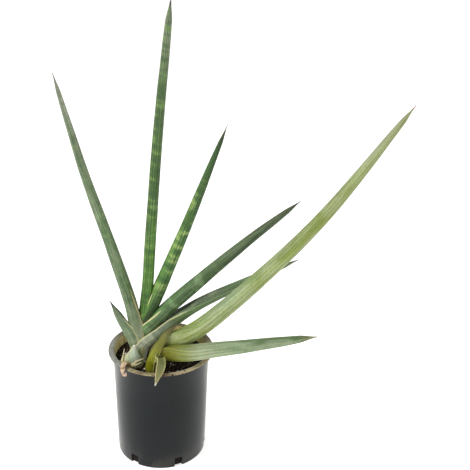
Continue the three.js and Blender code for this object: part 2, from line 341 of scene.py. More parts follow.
def wrapFan(centre, leaves):
    # each leaf of a fan clasps those listed before it
    half = form["coreWidth"] / 2
    reach = {-1: form["coreDepth"] / 2, 1: form["coreDepth"] / 2}
    for i, leaf in enumerate(leaves):
        side = leaf["side"]
        if i:
            half += form["margin"] + form["gap"]
            reach[side] += form["keel"] + form["gap"]
        out = reach[side]
        middle = centre[0] + side * (out - leaf["wraps"]) / 2
        leaf["foot"] = (2 * half, out + leaf["wraps"])
        leaf["spine"] = [(middle, centre[1], form["root"] - form["stub"])] + leaf["path"]
        leaf["opens"] = (-side, 0, 0)
        leaf["keel"] = form["keel"] if i else form["coreDepth"] * form["coreKeel"]
    return leaves


def leafSection(leaf, share, length):
    # width, front and back reach and margin of the section at a share of the length, and how closed it is
    along = share * length
    closing = smoothStep(along, 0, leaf["clasp"])
    widening = smoothStep(along, 0, leaf.get("widens", leaf["clasp"] * form["widens"]))
    sharpening = lerp(form["tipWidth"], 1, smoothStep(length - along, 0, form["tip"]))
    narrowing = max(1 - share, 0) ** leaf["taper"] * sharpening
    width = max(lerp(leaf["foot"][0], leaf["blade"][0], widening) * narrowing, form["leastWidth"])
    depth = max(lerp(leaf["foot"][1], leaf["blade"][1], widening) * narrowing, form["leastDepth"])
    keel = min(leaf["keel"], depth * form["keelMost"])
    sheathFront = lerp(keel - depth, depth * form["bladeFront"], closing)
    front = lerp(depth * form["stubFront"], sheathFront, smoothStep(along, 0, form["stub"]))
    margin = min(lerp(form["margin"], form["bladeMargin"], closing), width * form["marginMost"])
    return width, front, depth - max(front, 0), margin, closing


def onSection(turn, sides, width, front, back, margin):
    # where a side of the cylinder goes: to the leaf's back, to a lip or to the channel between the lips
    arc = 0.25 - 1 / sides
    near = 0.4 / sides
    if abs(turn) > 0.25 + near:
        swing = (abs(turn) - 0.5) / arc * (-1 if turn < 0 else 1)
        angle = swing * pi / 2
        return "back", swing, -width / 2 * sin(angle), -back * cos(angle)
    swing = max(-1, min(1, turn / arc))
    angle = swing * pi / 2
    if abs(abs(turn) - 0.25) < near:
        half = width / 2 - margin * form["lipInset"]
        return "lip", swing, half * sin(angle), margin * form["lipHeight"]
    return "channel", swing, (width / 2 - margin) * sin(angle), front * cos(angle)


def unevenAt(x, y, along, scales, seed):
    across, lengthwise = scales
    return noise.noise(Vector((x * across, y * across, along * lengthwise + seed)))


def skinRelief(leaf, seed, side, swing, x, y, share, along, width):
    # how far a point of the skin moves out or in, and how deep it lies in a groove
    blade = smoothStep(along, leaf["clasp"] * 0.3, leaf["clasp"]) * fadeOut(share, 0.93, 1)
    groove = (0.5 + 0.5 * cos(swing * pi * leaf["flutes"])) ** relief["grooveEdge"]
    groove *= fadeOut(abs(swing), 0.8, 0.95)
    deep = max(blade, relief["backGroove"] * fadeOut(share, 0.9, 1)) if side == "back" else blade
    scale = 1
    if side != "lip":
        wave = unevenAt(x, y, along, relief["waves"], seed) * relief["wave"] * min(width / 10, 1)
        scale -= (groove * relief["groove"] * deep - wave) / max(hypot(x, y), 2)
    if leaf["crumple"]:
        folds = unevenAt(x, y, along, relief["folds"], seed)
        folds += 0.5 * unevenAt(x, y, along, relief["creases"], seed)
        scale *= 1 + leaf["crumple"] * smoothStep(share, leaf["dryFrom"], 1) * folds
    return scale, groove * lerp(relief["rootGroove"], 1, blade)


def bendLeaf(name, leaf, sides, rings):
    # a cylinder with even sides, bent along the spine and pressed into the leaf's section
    leaf = {**plainLeaf, **leaf}
    samples, lengths = spineThrough(leaf["spine"])
    length = lengths[-1]
    bm = bmesh.new()
    bmesh.ops.create_cone(bm, cap_ends=True, cap_tris=True, segments=sides, radius1=1, radius2=1, depth=1)
    uprights = [edge for edge in bm.edges if abs(edge.verts[0].co.z - edge.verts[1].co.z) > 0.5]
    bmesh.ops.subdivide_edges(bm, edges=uprights, cuts=rings - 1, use_grid_fill=True)
    placeLayer = bm.verts.layers.float_vector.new("leafPlace")
    marksLayer = bm.verts.layers.float_vector.new("leafMarks")
    channelShadeLayer = bm.verts.layers.float.new("leafChannelShade")
    opensFrom, opensTo = Vector(leaf["opens"]), Vector(leaf["faces"])
    fadeFrom, fadeTo = (leaf["clasp"] * part for part in leaf["edgeFade"])
    seed = sum(map(ord, name)) % 97
    for vert in bm.verts:
        step = 2 * pi * (vert.co.z + 0.5)
        share = (step - form["ringSpread"] * sin(step)) / (2 * pi)
        share = min(max(share, 0), 1)
        along = share * length
        place, heading = pointAlong(samples, lengths, share)
        width, front, back, margin, closing = leafSection(leaf, share, length)
        turn = atan2(vert.co.x, vert.co.y) / (2 * pi)
        side, swing, x, y = onSection(turn, sides, width, front, back, margin)
        scale, groove = skinRelief(leaf, seed, side, swing, x, y, share, along, width)
        lipDistance = hypot(abs(x) - (width - margin) / 2, y)
        edging = max(fadeOut(along, fadeFrom, fadeTo), leaf["edging"])
        vert[placeLayer] = (2 * x / width, 2 * y / max(width, 1), along + seed * 10)
        vert[marksLayer] = (fadeOut(lipDistance, *relief["marginFade"]) * edging, groove, share)
        # painted shade for the open channel, strongest where the sheath is still open and away from the lips
        if side == "channel":
            vert[channelShadeLayer] = fadeOut(closing, 0.35, 0.9) * fadeOut(abs(swing), 0.7, 1)
        if hypot(vert.co.x, vert.co.y) > 0.5:  # the middles of both ends stay on the spine
            opens = opensFrom.lerp(opensTo, smoothStep(along, form["turnsFrom"], leaf["clasp"]))
            opens = (opens - heading * opens.dot(heading)).normalized()
            middle = (max(front, 0) - back) / 2
            place = place + opens.cross(heading) * x * scale + opens * (y * scale - middle)
        vert.co = place * mm
    bmesh.ops.recalc_face_normals(bm, faces=bm.faces)
    if bm.calc_volume(signed=True) < 0:  # a crumpled end can turn the leaf inside out
        bmesh.ops.reverse_faces(bm, faces=bm.faces)
    return bm


# a leaf's look, where its entry says nothing else; banded is where the cross-bands start and end, bloomFrom
# where the bloom starts and dryTip where the dry tip does, all as shares of the length
# inside is a painted shade laid in the open channel, keel a painted shade on the keel side, and the flank
# entry paints light and shade on one side
plainLook = dict(rough=0.46, banded=(0.1, 1.2), bloomFrom=0.02, streaks=0.34, lines=0.85, scars=0.3,
                 scarTone=(116, 94, 54), inside=(30, 44, 26), margin=(214, 208, 154), rust=0.15,
                 rustTone=(140, 98, 60), dryTip=0.985, tip=(72, 54, 44), dustLevel=0.131, dustRise=0.014,
                 dustTone=(84, 64, 44))


def leafSkin(name, look):
    # skin of one leaf: tones along it, painted shade on the keel side and in the channel, painted light and
    # shade on one flank, cross-bands, lines, bloom, margins, dry tip, dust at the foot
    look = {**plainLook, **look}
    material, tree, shader = openMaterial(name, Specular_IOR_Level=0.3)
    place = attribute(tree, "leafPlace", "Vector")
    section = parted(place)
    margin, groove, along = parted(attribute(tree, "leafMarks", "Vector"))
    channel = attribute(tree, "leafChannelShade", "Fac")
    bands = placeGroup(tree, crossBands, Place=place, Every=look["every"])
    skin = placeGroup(tree, leafStreaks, Place=place)
    scars = placeGroup(tree, corkyScars, Place=place, Share=look["scars"])["Scars"]
    dust = placeGroup(tree, soilDust, Level=look["dustLevel"], Rise=look["dustRise"])["Dust"]
    colour = toneRamp(along, look["tones"])
    # painted shade: the keel side of the section, facing down and away from the key light, is tinted darker;
    # on leaf_front_longest the olive tint is partly its own colour and partly painted shade
    if "keel" in look:
        share, tone = look["keel"]
        colour = tinted(colour, times(ranged(section[1], 0.1, -0.75), share), tone)
    # painted light and shade on one side of the section, low on the leaf: darker where that side lies in
    # shade, lighter where it is lit, as the entry's tone gives
    if "paintedFlankShading" in look:
        paintedFlankShading = look["paintedFlankShading"]
        side = ranged(section[paintedFlankShading["axis"]], paintedFlankShading["edge"], paintedFlankShading["full"])
        lower = ranged(along, paintedFlankShading["until"], paintedFlankShading["until"] - 0.2)
        colour = tinted(colour, times(times(side, lower), paintedFlankShading["share"]), paintedFlankShading["tone"])
    start, end = look["banded"]
    banded = times(ranged(along, start, start + 0.12), ranged(along, end, end - 0.15))
    light, dark = look["bands"]
    colour = tinted(colour, times(times(bands["Light"], light), banded), look["lightBand"])
    colour = tinted(colour, times(times(bands["Dark"], dark), banded), look["darkBand"])
    bloomed = ranged(along, look["bloomFrom"], look["bloomFrom"] + 0.15)
    bloom = times(placeGroup(tree, waxBloom, Place=place)["Bloom"], bloomed)
    colour = tinted(colour, times(bloom, look["bloom"]), look["bloomTone"])
    reach = look["streaks"]
    colour = shaded(colour, ranged(skin["Streaks"], 0.4, 0.6, 1.0 - reach, 1.0 + reach))
    colour = shaded(colour, ranged(skin["Skin"], 0.38, 0.62, 0.86, 1.14))
    # in turn: lines, scars, the painted channel shade (inside), margin, rust, dry tip and dust
    layers = [
        (times(groove, look["lines"]), "line"), (times(scars, 0.7), "scarTone"),
        (times(channel, 0.75), "inside"), (ranged(margin, 0.3, 0.6), "margin"),
        (ranged(margin, 0.96, 1.0, 0.0, look["rust"]), "rustTone"),
        (ranged(along, look["dryTip"], lerp(look["dryTip"], 1, 0.6)), "tip"), (times(dust, 0.7), "dustTone"),
    ]
    for mask, tone in layers:
        colour = tinted(colour, mask, look[tone])
    plug(shader.inputs["Base Color"], colour)
    rough = plus(look["rough"], times(bloom, 0.12))
    plug(shader.inputs["Roughness"], plus(rough, times(margin, 0.2), clamp=True))
    height = less(plus(skin["Streaks"], times(skin["Skin"], 0.35)), times(groove, 0.5))
    raised(shader, height, 0.0004, 0.9)
    return material


def addLeaf(leaf, sides, rings):
    name = leaf["name"]
    body = bendLeaf(name, leaf, sides, rings)
    addPiece("fine_" + name, body, leafSkin(name + "_skin", leaf["look"]), name)


# in the looks below, keel and inside tones are painted shade, and flank tones are painted light and shade on
# one side
greyGreen = dict(tones=[(0, (176, 172, 126)), (0.14, (124, 144, 98)), (0.24, (90, 116, 70)),
                        (0.5, (94, 118, 76)), (0.8, (116, 128, 98)), (0.94, (112, 116, 98)),
                        (1, (74, 60, 52))],
                 bands=(0.35, 0.45), every=9.0, lightBand=(128, 150, 100), darkBand=(54, 84, 46),
                 line=(46, 68, 42), lines=0.55, streaks=0.24, bloom=0.5, bloomTone=(140, 152, 124))

leftFan = dict(centre=(-29.5, -10), leaves=[
    dict(name="leaf_tall_centre", slot="leaf_green", side=-1, wraps=3.5, blade=(16.4, 14.4), taper=0.23,
         clasp=60, widens=110, faces=(0.8, 0.6, 0), edgeFade=(1.0, 1.7),
         path=[(-24.3, -9.4, 160), (-15.6, -7.8, 224.4), (-9.8, -9, 305), (1.2, -8, 442), (14, -7, 567)],
         look=dict(
             tones=[(0, (170, 164, 90)), (0.1, (104, 124, 56)), (0.16, (82, 124, 40)),
                    (0.3, (84, 130, 40)), (0.42, (80, 120, 42)), (0.52, (60, 92, 36)),
                    (0.8, (88, 108, 64)), (0.92, (142, 150, 124)), (1, (112, 108, 98))],
             keel=(0.35, (44, 74, 30)), bands=(0.7, 0.6), every=7.0, lightBand=(116, 150, 74),
             darkBand=(42, 76, 34), line=(44, 70, 38), lines=0.6, streaks=0.24, bloom=0.25,
             bloomTone=(100, 122, 88))),
    dict(name="leaf_right_upper", slot="leaf_banded", side=1, wraps=5.6, blade=(22.5, 20), taper=0.5,
         clasp=110, widens=130, faces=(-0.8, 0.7, 0.3), edgeFade=(0.95, 1.15),
         path=[(-25.8, -10, 161), (-7.5, -8.3, 210.7), (32, -7, 313), (58, -6, 384), (76, -5, 432.5)],
         look=dict(
             tones=[(0, (168, 166, 70)), (0.16, (112, 160, 50)), (0.32, (84, 128, 50)),
                    (0.46, (98, 140, 66)), (0.6, (84, 124, 56)), (0.9, (60, 88, 42)), (1, (52, 40, 34))],
             keel=(0.5, (34, 58, 26)),
             paintedFlankShading=dict(share=0.8, tone=(22, 36, 16), axis=1, edge=-0.2, full=-0.7, until=0.45),
             bands=(0.7, 0.65), every=9.0, banded=(0.3, 0.84), lightBand=(160, 184, 104),
             darkBand=(38, 74, 34), line=(42, 76, 38), lines=0.6, streaks=0.24, bloom=0.12,
             bloomTone=(104, 132, 92))),
    dict(name="leaf_right_middle", slot="leaf_grey_green", side=1, wraps=7, blade=(25, 21.5), taper=0.45,
         clasp=100, widens=125, faces=(-0.6, 0.45, 0.45), edgeFade=(0.85, 1.1),
         path=[(-23.8, -9.4, 160.5), (-2, -9.6, 190.7), (51, -4, 242.4), (104.5, 2.5, 290.6),
               (163.3, 9.9, 339)],
         look=dict(
             greyGreen,
             tones=[(0, (170, 166, 84)), (0.14, (96, 136, 62)), (0.3, (82, 118, 62)),
                    (0.5, (72, 100, 52)), (0.92, (70, 82, 54)), (1, (60, 48, 42))],
             keel=(0.45, (50, 72, 44)), bands=(0.6, 0.45), banded=(0.1, 0.62), lightBand=(128, 160, 108),
             bloom=0.3)),
    dict(name="leaf_left_long", slot="leaf_grey_green", side=-1, wraps=10, blade=(20, 17.5), taper=0.45,
         clasp=115, widens=115, faces=(0.75, 0.7, 0.2), edgeFade=(0.85, 1.2),
         path=[(-28.5, -10.4, 160), (-34.4, -11.3, 205), (-55, -14, 282), (-83, -18, 378),
               (-111, -22, 490)],
         look=dict(
             greyGreen,
             tones=[(0, (184, 180, 138)), (0.13, (182, 184, 150)), (0.2, (142, 154, 116)),
                    (0.27, (90, 118, 66)), (0.5, (94, 122, 72)), (0.8, (120, 132, 100)),
                    (0.94, (178, 180, 162)), (1, (100, 84, 72))],
             keel=(0.5, (48, 76, 46)),
             margin=(206, 186, 138), rust=0.5)),
    dict(name="leaf_right_low", slot="leaf_grey_green", side=1, wraps=9, blade=(22, 19), taper=0.45,
         clasp=150, faces=(-0.45, -0.05, 0.85), edgeFade=(0.5, 1.0),
         path=[(-22, -10, 150), (-0.4, -8.8, 170.6), (42, -6.5, 205.3), (100, -3.4, 237),
               (164.7, -0.1, 268.5)],
         look=dict(
             greyGreen,
             tones=[(0, (204, 200, 164)), (0.15, (222, 226, 202)), (0.27, (220, 230, 202)),
                    (0.37, (124, 148, 106)), (0.5, (108, 142, 90)), (0.92, (100, 116, 82)),
                    (1, (74, 60, 50))],
             paintedFlankShading=dict(share=0.92, tone=(24, 34, 16), axis=1, edge=0.06, full=0.24, until=0.75),
             margin=(196, 192, 146))),
    dict(name="leaf_left_short", slot="leaf_grey_green", side=-1, wraps=11, blade=(20.5, 18.5),
         taper=0.43, clasp=110, faces=(0.7, 0.6, 0.4),
         path=[(-29.5, -11, 149), (-35.5, -12.2, 165), (-48, -14, 190.5), (-59.2, -16, 214)],
         look=dict(
             greyGreen,
             tones=[(0, (196, 196, 160)), (0.35, (156, 168, 130)), (0.6, (104, 126, 90)),
                    (0.88, (86, 102, 76)), (1, (62, 44, 50))])),
])

rightFan = dict(centre=(-9, -29), leaves=[
    dict(name="leaf_front_longest", slot="leaf_pale", side=1, wraps=3.5, blade=(28, 24), taper=0.45,
         clasp=120, faces=(-0.6, 0.6, 0.5), edgeFade=(0.15, 0.3),
         path=[(-5, -28, 146), (12, -27.5, 163), (48.5, -30, 188.7), (130.8, -34, 272.5),
               (188.5, -37.5, 343), (274, -41, 470.5)],
         look=dict(
             tones=[(0, (112, 106, 24)), (0.11, (114, 118, 28)), (0.18, (104, 122, 34)),
                    (0.25, (130, 149, 92)), (0.33, (140, 158, 122)), (0.42, (130, 148, 92)),
                    (0.52, (120, 136, 72)), (0.7, (112, 126, 52)), (0.86, (152, 160, 124)),
                    (0.95, (148, 150, 118)), (1, (118, 66, 50))],
             keel=(0.55, (136, 148, 60)),
             paintedFlankShading=dict(share=0.75, tone=(146, 160, 34), axis=1, edge=0.05, full=0.4, until=0.34),
             bands=(0.25, 0.15), every=30.0, lightBand=(170, 186, 128), darkBand=(118, 144, 68),
             line=(98, 114, 58), lines=0.6, streaks=0.16, bloom=0.6, bloomTone=(168, 176, 138),
             tip=(136, 72, 54))),
    dict(name="leaf_front_low", slot="leaf_pale", side=1, wraps=-3, blade=(28, 24.5), taper=0.44,
         clasp=92, faces=(-0.1, 0.6, 0.8), edgeFade=(0.2, 0.45),
         path=[(-4, -29, 139), (3, -29.5, 149.3), (13.5, -34.5, 156.4), (33.5, -42, 160.8),
               (68, -44.5, 168), (110, -46.5, 176.2), (158, -49.5, 187), (187.5, -52.3, 194.2)],
         look=dict(
             tones=[(0, (92, 84, 20)), (0.2, (102, 100, 24)), (0.27, (116, 118, 38)),
                    (0.33, (126, 134, 66)), (0.4, (150, 158, 118)), (0.56, (122, 143, 104)),
                    (0.74, (84, 109, 64)), (0.9, (80, 106, 60)), (1, (122, 92, 54))],
             bands=(0.25, 0.2),
             every=24.0, banded=(0.3, 1.2), lightBand=(164, 184, 140), darkBand=(106, 138, 88),
             line=(92, 118, 78), lines=0.5, streaks=0.16, bloom=0.55, bloomTone=(166, 176, 148),
             bloomFrom=0.3, tip=(130, 100, 52))),
    dict(name="leaf_front_stub", slot="leaf_yellowed", side=-1, wraps=6.5, blade=(14.5, 10.5), taper=0.2,
         clasp=80, faces=(0.7, 0.6, -0.4), edging=0.4, crumple=0.14, dryFrom=0.6,
         path=[(-10.5, -36.5, 139.1), (-4.3, -42.5, 159.2), (3, -40, 171.3), (9.8, -35.5, 181.7),
               (21.5, -29, 192.2)],
         look=dict(
             tones=[(0, (128, 122, 24)), (0.3, (140, 144, 20)), (0.55, (124, 128, 24)),
                    (0.75, (98, 100, 38)), (0.9, (94, 92, 60)), (1, (80, 74, 56))],
             bands=(0.2, 0.3),
             every=10.0, lightBand=(156, 156, 54), darkBand=(92, 90, 26), line=(96, 90, 30), streaks=0.25,
             bloom=0.12, bloomTone=(150, 150, 92), margin=(186, 178, 98), tip=(92, 82, 64), dryTip=0.94)),
])
fanDetail = dict(sides=96, longRings=130, shortRings=80, longPath=5)

for fan in (leftFan, rightFan):
    for leaf in wrapFan(fan["centre"], fan["leaves"]):
        rings = "longRings" if len(leaf["path"]) >= fanDetail["longPath"] else "shortRings"
        addLeaf(leaf, fanDetail["sides"], fanDetail[rings])
print("leaves of both fans made")


looseLeaves = [
    dict(name="scale_leaf_left", slot="scale_leaf", foot=(31, 12), blade=(34, 14), taper=0.4, clasp=60,
         keel=8, flutes=5, opens=(0.2, 1, 0), faces=(0.2, 1, 0), edging=1.0,
         spine=[(-33.5, -24, 118), (-33, -27, 132), (-31.5, -28, 146), (-30, -25, 160)],
         look=dict(
             tones=[(0, (186, 176, 124)), (0.36, (204, 198, 148)), (0.5, (164, 176, 138)),
                    (0.75, (158, 176, 148)), (1, (204, 208, 184))],
             paintedFlankShading=dict(share=0.7, tone=(208, 204, 158), axis=0, edge=-0.25, full=-0.8, until=1.2),
             bands=(0.3, 0.25), every=6.0, lightBand=(206, 214, 194), darkBand=(132, 156, 124),
             line=(140, 162, 130), lines=0.4, bloom=0.4, bloomTone=(204, 214, 198),
             margin=(206, 198, 156), scars=0.6, tip=(222, 220, 206), dryTip=0.96)),
    dict(name="scale_leaf_front", slot="leaf_yellowed", foot=(14, 4.5), blade=(90, 14), taper=0.5,
         clasp=400, flutes=5, opens=(0.6, -0.7, 0.4), faces=(0.6, -0.7, 0.4), edgeFade=(0, 0.01),
         edging=0.45, crumple=0.12, dryFrom=0.3,
         spine=[(-2, -44, 126), (-1, -44, 145), (0.8, -47, 156.5), (4, -53, 156.5), (4.2, -60.5, 153),
                (2.4, -67, 146.5), (-1.3, -72, 133.1)],
         look=dict(
             tones=[(0, (114, 108, 46)), (0.4, (130, 136, 58)), (0.62, (150, 154, 88)),
                    (0.78, (140, 120, 74)), (0.92, (164, 160, 104)), (1, (222, 216, 194))],
             bands=(0.35, 0.5), every=7.0, lightBand=(186, 184, 128), darkBand=(98, 74, 38),
             line=(100, 84, 42), bloom=0.2, bloomTone=(176, 180, 140), margin=(198, 186, 136), scars=1.0,
             inside=(124, 130, 82), tip=(232, 228, 214), dryTip=0.93)),
    dict(name="withered_leaf", slot="dry_leaf", foot=(6, 3), blade=(10, 3.8), taper=0.12, clasp=30,
         flutes=6, opens=(0.2, 0.5, 0.5), faces=(-0.4, -0.6, 0.4), crumple=0.55, dryFrom=0.1,
         spine=[(-37, -37.5, 124), (-37.3, -38.3, 138), (-38.5, -41.8, 144.8), (-39.8, -46.5, 146.3),
                (-40.8, -52, 146), (-41, -56.4, 142.5), (-40, -58, 139), (-37.8, -58.3, 138.3),
                (-36.4, -57.8, 141.3)],
         look=dict(
             tones=[(0, (122, 96, 62)), (0.5, (200, 172, 134)), (0.8, (212, 186, 158)),
                    (1, (190, 160, 140))],
             bands=(0.6, 0.8), every=3.0, lightBand=(230, 212, 184),
             darkBand=(118, 84, 58), line=(128, 88, 56), lines=0.5, bloom=0.2, bloomTone=(206, 190, 160),
             scars=1.0, rough=0.7, tip=(170, 138, 118))),
]
looseDetail = dict(sides=64, rings=70)

for leaf in looseLeaves:
    addLeaf(leaf, looseDetail["sides"], looseDetail["rings"])


strips = dict(spines=[[(-43.5, -23, 118), (-46.5, -27, 132), (-44.5, -24.5, 143), (-42.5, -22.5, 152.5)],
                      [(-41, -26, 118), (-40, -33, 131), (-34, -36, 136), (-27, -36, 139),
                       (-20.5, -34.5, 141.5)],
                      [(-39.5, -27.5, 118), (-37.5, -31.5, 132), (-30, -33, 140), (-18.5, -31.5, 145)]],
              shape=dict(foot=(8, 1.6), blade=(6.5, 1.5), taper=0.3, clasp=30, flutes=4,
                         opens=(0.7, 0.6, 0), faces=(0.7, 0.6, 0), edging=0.2, crumple=0.35, dryFrom=0.0),
              look=dict(
                  tones=[(0, (150, 130, 90)), (0.4, (206, 196, 150)), (1, (222, 214, 176))],
                  bands=(0.3, 0.3), every=6.0, lightBand=(236, 230, 200), darkBand=(160, 140, 96),
                  line=(150, 128, 86), lines=0.6, bloom=0.2, bloomTone=(230, 224, 200), scars=0.7,
                  rough=0.7, tip=(170, 150, 110)),
              sides=40, rings=60)
stripSkin = leafSkin("dry_sheath_skin", strips["look"])
for i, spine in enumerate(strips["spines"]):
    body = bendLeaf(f"strip{i}", {**strips["shape"], "spine": spine}, strips["sides"], strips["rings"])
    addPiece(f"fine_dry_sheath_{i + 1}", body, stripSkin, "dry_sheath")
print("scale leaves and dry pieces made")


def spun(section, unit, near, steps):
    # closed body turned from a half section of radius and height
    bm = bmesh.new()
    corners = [bm.verts.new((radius * unit, 0, height * unit)) for radius, height in section]
    edges = [bm.edges.new(pair) for pair in zip(corners, corners[1:])]
    bmesh.ops.spin(bm, geom=corners + edges, cent=(0, 0, 0), axis=(0, 0, 1), angle=2 * pi,
                   steps=steps, use_merge=True)
    bmesh.ops.remove_doubles(bm, verts=bm.verts, dist=near)
    return bm


pot = dict(height=142.5, lipRadius=65, lipInner=60.5, lipThickness=2.4, topRadius=59, footRadius=55.3,
           wall=1.4, floor=2, steps=180)
notch = dict(count=6, first=-33, width=10.5, height=13.5, below=1, depth=14, round=1.2)
potSkin = dict(sheen=0.85, sheenRoughness=0.28, sheenTint=(226, 228, 222),
               black=[(0.3, (3, 10, 13)), (0.7, (8, 16, 19))], scuffs=0.2, scuffTone=(84, 86, 86),
               dust=0.15, dustTone=(126, 118, 104),
               stain=[(0.28, (128, 118, 66)), (0.5, (196, 182, 118)), (0.72, (222, 208, 162))],
               crust=[(0.36, (106, 82, 64)), (0.46, (136, 120, 92)), (0.54, (168, 158, 118)),
                      (0.68, (152, 144, 114))], crustLeft=(150, 150, 142), crustRight=(190, 174, 142),
               crustBack=(104, 98, 72))


def potWall():
    # half section, spun round: underside, wall, turned-out lip, inside and floor, with rounded corners
    height, level = pot["height"], pot["floor"]
    low, top, lip = pot["footRadius"], pot["topRadius"], pot["lipRadius"]
    under = height - pot["lipThickness"]
    inside, insideLow = top - pot["wall"], low - pot["wall"]
    section = [(0, 0), (low - 1.7, 0), (low - 0.8, 0.25), (low - 0.2, 0.9), (low, 2.2),
               (lerp(low, top, 0.33), under * 0.33), (lerp(low, top, 0.66), under * 0.66),
               (top - 0.02, under - 1.2), (top + 0.25, under - 0.4), (top + 1.0, under), (lip - 0.7, under),
               (lip - 0.2, under + 0.2), (lip, under + 0.7), (lip, height - 0.8), (lip - 0.3, height - 0.2),
               (lip - 0.9, height), (pot["lipInner"], height), (inside + 1.6, height - 0.25),
               (inside + 0.6, height - 0.7), (inside + 0.1, height - 1.4), (inside - 0.05, height - 2.4),
               (lerp(inside, insideLow, 0.5), height / 2), (insideLow - 0.3, level + 0.9),
               (insideLow - 1.2, level), (0, level)]
    bm = spun(section, mm, 1e-6, pot["steps"])
    bmesh.ops.recalc_face_normals(bm, faces=bm.faces)
    return bm


def notchCutters():
    # a block for each notch, with its two upper corners rounded
    bm = bmesh.new()
    tall, below = notch["height"], notch["below"]
    size = Matrix.Diagonal((notch["width"] * mm, notch["depth"] * mm, (tall + below) * mm, 1))
    place = Matrix.Translation((0, -pot["footRadius"] * mm, (tall - below) / 2 * mm))
    for i in range(notch["count"]):
        turn = Matrix.Rotation(radians(notch["first"] + 360 / notch["count"] * i), 4, "Z")
        bmesh.ops.create_cube(bm, size=1, matrix=turn @ place @ size)
    corners = [edge for edge in bm.edges if abs(edge.calc_length() - notch["depth"] * mm) < 1e-6
               and min(vert.co.z for vert in edge.verts) > tall / 2 * mm]
    bmesh.ops.bevel(bm, geom=corners, offset=notch["round"] * mm, affect="EDGES", segments=4, profile=0.5,
                    material=-1)
    return bm


def cutAway(piece, bm):
    cutter = placeMesh("cutter", bm)
    modifier = piece.modifiers.new("notches", "BOOLEAN")
    modifier.object = cutter
    modifier.solver = "EXACT"
    bpy.context.view_layer.update()
    finished = bpy.data.meshes.new_from_object(piece.evaluated_get(bpy.context.evaluated_depsgraph_get()))
    piece.modifiers.clear()
    piece.data = finished
    bpy.data.objects.remove(cutter)


def stainInside(place, colour):
    # the inside of the wall, stained by the mix
    height = parted(place)[2]
    flat = addNode(place.id_data, "Mapping", Vector=place, Scale=(1, 1, 0)).outputs[0]
    radius = addNode(place.id_data, "VectorMath", {"operation": "LENGTH"}, Vector=flat).outputs["Value"]
    slope = (pot["topRadius"] - pot["footRadius"]) / pot["height"]
    skinRadius = less(radius, times(height, slope))
    inner = ranged(skinRadius, (pot["footRadius"] - 0.4) * mm, (pot["footRadius"] - 0.9) * mm)
    stain = toneRamp(drawnOut(place, (90, 90, 46), 5.0, 0.65, 0.5), potSkin["stain"])
    return blendColour(times(inner, ranged(height, 0.10, 0.13)), colour, stain), inner


def crustOnLip(place, colour):
    # salts and dust on the lip, cream and brown in front; towards the left the tone turns grey, towards the
    # right tan and towards the back darker
    x, y, height = parted(place)
    top = ranged(height, (pot["height"] - 1.3) * mm, (pot["height"] - 0.5) * mm)
    crust = drawnOut(place, (230, 230, 230), 5.0, 0.7, 0.3)
    tone = toneRamp(speckle(place, 34, 3.0, 0.6, 0.5), potSkin["crust"])
    tone = tinted(tone, ranged(x, -0.026, -0.048), potSkin["crustLeft"])
    tone = tinted(tone, ranged(x, 0.004, 0.03, 0.0, 0.7), potSkin["crustRight"])
    tone = tinted(tone, ranged(y, 0.0, 0.035), potSkin["crustBack"])
    mask = times(top, ranged(crust, 0.30, 0.48))
    return blendColour(mask, colour, tone), mask, times(crust, mask)


def potPlastic():
    # black moulded plastic with a soft sheen, scuffs and a little dust low down
    material, tree, shader = openMaterial("pot_plastic", Specular_IOR_Level=0.2,
                                          Sheen_Weight=potSkin["sheen"],
                                          Sheen_Roughness=potSkin["sheenRoughness"],
                                          Sheen_Tint=paint(*potSkin["sheenTint"]))
    place = objectPlace(tree)
    cloud = speckle(place, 18, 4.0, 0.6, 0.4)
    colour = toneRamp(cloud, potSkin["black"])
    scuffs = drawnOut(place, (160, 160, 900), 3.0, 0.7)
    colour = tinted(colour, ranged(scuffs, 0.64, 0.78, 0.0, potSkin["scuffs"]), potSkin["scuffTone"])
    dusty = times(ranged(parted(place)[2], 0.03, 0.0), ranged(cloud, 0.42, 0.66))
    colour = tinted(colour, times(dusty, potSkin["dust"]), potSkin["dustTone"])
    colour, inner = stainInside(place, colour)
    colour, crusted, crustHeight = crustOnLip(place, colour)
    plug(shader.inputs["Base Color"], colour)
    matt = times(maths("MAXIMUM", crusted, inner), 0.4)
    plug(shader.inputs["Roughness"], plus(plus(0.3, times(cloud, 0.12)), matt, clamp=True))
    bump = plus(times(speckle(place, 2600), 0.1), drawnOut(place, (12, 12, 60)))
    raised(shader, plus(bump, times(crustHeight, 2.5)), 0.0003, 0.5)
    return material


container = addPiece("fine_pot", potWall(), potPlastic(), "pot")
cutAway(container, notchCutters())
container.data.set_sharp_from_angle(angle=radians(40))
print("container made")


soil = dict(level=129, bottom=2.3, gap=0.3, steps=160, topRings=44,
            sideRings=(6, 10, 14, 20, 40, 70, 100, 120), rough=1.2, roughScale=0.22, wave=0.8, mound=2.5,
            moundAt=(-17, -18), moundSpread=700)


def soilTop(x, y):
    # height of the mix: waves, and a mound round the shoots
    waves = sin(x / 7 + 1) * cos(y / 6) + 0.7 * sin(x / 4 - y / 5)
    moundX, moundY = soil["moundAt"]
    mound = soil["mound"] * exp(-((x - moundX) ** 2 + (y - moundY) ** 2) / soil["moundSpread"])
    return soil["level"] + waves * soil["wave"] + mound


def wallInside(height):
    # radius of the mix at a height of the wall
    return lerp(pot["footRadius"], pot["topRadius"], height / pot["height"]) - pot["wall"] - soil["gap"]


